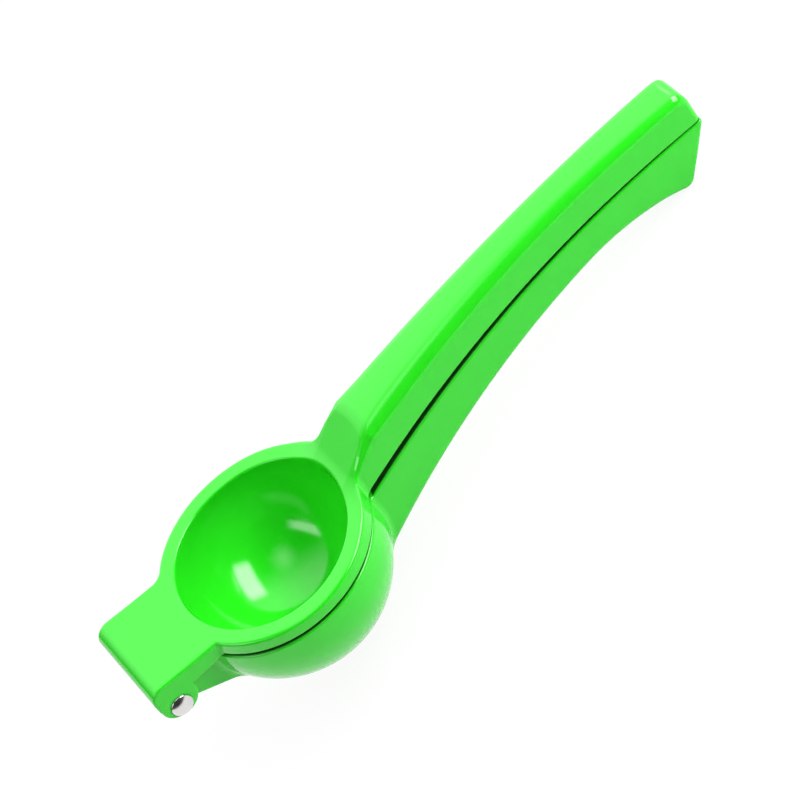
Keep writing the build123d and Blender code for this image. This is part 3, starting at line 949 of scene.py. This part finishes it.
def studio():
    """A room that is dark in front of the object and pale behind it, and that the camera sees as white."""
    world = bpy.data.worlds.new("studio")
    bpy.context.scene.world = world
    world.use_nodes = True
    nodes = Nodes(world.node_tree)
    seen = nodes.node("ShaderNodeLightPath")["Is Camera Ray"]
    towards = nodes.node("ShaderNodeTexCoord")["Generated"]
    dot_sockets = {0: towards, 1: STUDIO_BACK_TOWARDS}
    along = nodes.node("ShaderNodeVectorMath", {"operation": "DOT_PRODUCT"}, dot_sockets)["Value"]
    grey = mixed(nodes, faded(nodes, along, *STUDIO_BACK_FADE), STUDIO_FRONT, STUDIO_BACK)
    room = nodes.node("ShaderNodeBackground", {}, {"Color": grey, "Strength": 1.0})[0]
    white = nodes.node("ShaderNodeBackground", {}, {"Color": WHITE, "Strength": 1.0})[0]
    surface = nodes.node("ShaderNodeMixShader", {}, {0: seen, 1: room, 2: white})[0]
    nodes.node("ShaderNodeOutputWorld", {}, {"Surface": surface})


def soft_box(name, compass, height_angle, distance, width, height, brightness, fade, roll):
    """A flat lamp that faces the object, fades towards its edges and shows in the object's gloss."""
    around = math.radians(compass)
    climb = math.radians(height_angle)
    level = math.cos(climb)
    towards = Vector((level * math.sin(around), -level * math.cos(around), math.sin(climb)))
    lamp = bpy.data.lights.new(name, "AREA")
    lamp.shape = "RECTANGLE"
    lamp.size = width
    lamp.size_y = height
    lamp.energy = brightness * math.pi * width * height
    lamp.use_nodes = True
    nodes = Nodes(lamp.node_tree)
    spot = nodes.node("ShaderNodeNewGeometry")["Parametric"]
    spot = nodes.node("ShaderNodeSeparateXYZ", {}, {0: spot})
    across = faded(nodes, spot["X"] & (1 - spot["X"]), 0, fade)
    upright = faded(nodes, spot["Y"] & (1 - spot["Y"]), 0, fade)
    glow = nodes.node("ShaderNodeEmission", {}, {"Color": WHITE, "Strength": across * upright})[0]
    nodes.node("ShaderNodeOutputLight", {}, {"Surface": glow})
    box = link(name, lamp)
    box.location = LIGHT_AIM + distance * towards
    rolled = Quaternion((0, 0, 1), math.radians(roll))
    box.rotation_euler = (towards.to_track_quat("Z", "Y") @ rolled).to_euler()
    box.visible_camera = False


def camera():
    """The camera at the photograph's place."""
    back = Vector(
        (
            math.sin(CAMERA_AZIMUTH) * math.cos(CAMERA_HEIGHT),
            -math.cos(CAMERA_AZIMUTH) * math.cos(CAMERA_HEIGHT),
            math.sin(CAMERA_HEIGHT),
        )
    )
    level = Vector((math.cos(CAMERA_AZIMUTH), math.sin(CAMERA_AZIMUTH), 0))
    above = back.cross(level)
    right = math.cos(CAMERA_ROLL) * level - math.sin(CAMERA_ROLL) * above
    up = math.sin(CAMERA_ROLL) * level + math.cos(CAMERA_ROLL) * above
    aside = (RIM_PIXEL[0] - IMAGE_SIZE / 2) / FOCAL_PIXELS * CAMERA_DISTANCE
    below = (RIM_PIXEL[1] - IMAGE_SIZE / 2) / FOCAL_PIXELS * CAMERA_DISTANCE
    place = CAMERA_DISTANCE * back - aside * right + below * up
    data = bpy.data.cameras.new("camera")
    data.sensor_width = SENSOR_MM
    data.lens = SENSOR_MM * FOCAL_PIXELS / IMAGE_SIZE
    viewer = link("camera", data)
    turn = RIM_TURN @ Matrix((right, up, back)).transposed()
    viewer.matrix_world = Matrix.Translation(RIM_CENTRE + RIM_TURN @ place) @ turn.to_4x4()
    bpy.context.scene.camera = viewer


# Putting the object together

def dressed(piece, body, node):
    """Puts a piece on its body, in place of its solid, which it hides."""
    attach(piece, body)
    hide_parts(node)


green = enamel()
press_low = (HOOD_FRONT_X, -RIM_R, CUP_CENTRE_Z - DOME_R)
press_high = (PRESS_END_X, RIM_R, BACK_CREST_Z)
strainer_low = (HINGE.x - KNUCKLE_R, -BOWL_R, BOWL_CENTRE_Z - BOWL_DEPTH)
strainer_high = (STRAINER_END_X, BOWL_R, SEAM_CREST_Z)
upper = casting("press_arm_enamelled", press_arm, press_low, press_high, green)
dressed(upper, "press", "press_arm")
lower = casting("strainer_arm_enamelled", strainer_arm, strainer_low, strainer_high, green)
dressed(lower, "strainer", "strainer_arm")
dressed(rivet(pin_steel()), "press", "hinge_pin")

floor()
studio()
for box_name, values in SOFT_BOXES.items():
    soft_box(box_name, **values)
camera()
bpy.context.scene.view_settings.view_transform = "Standard"
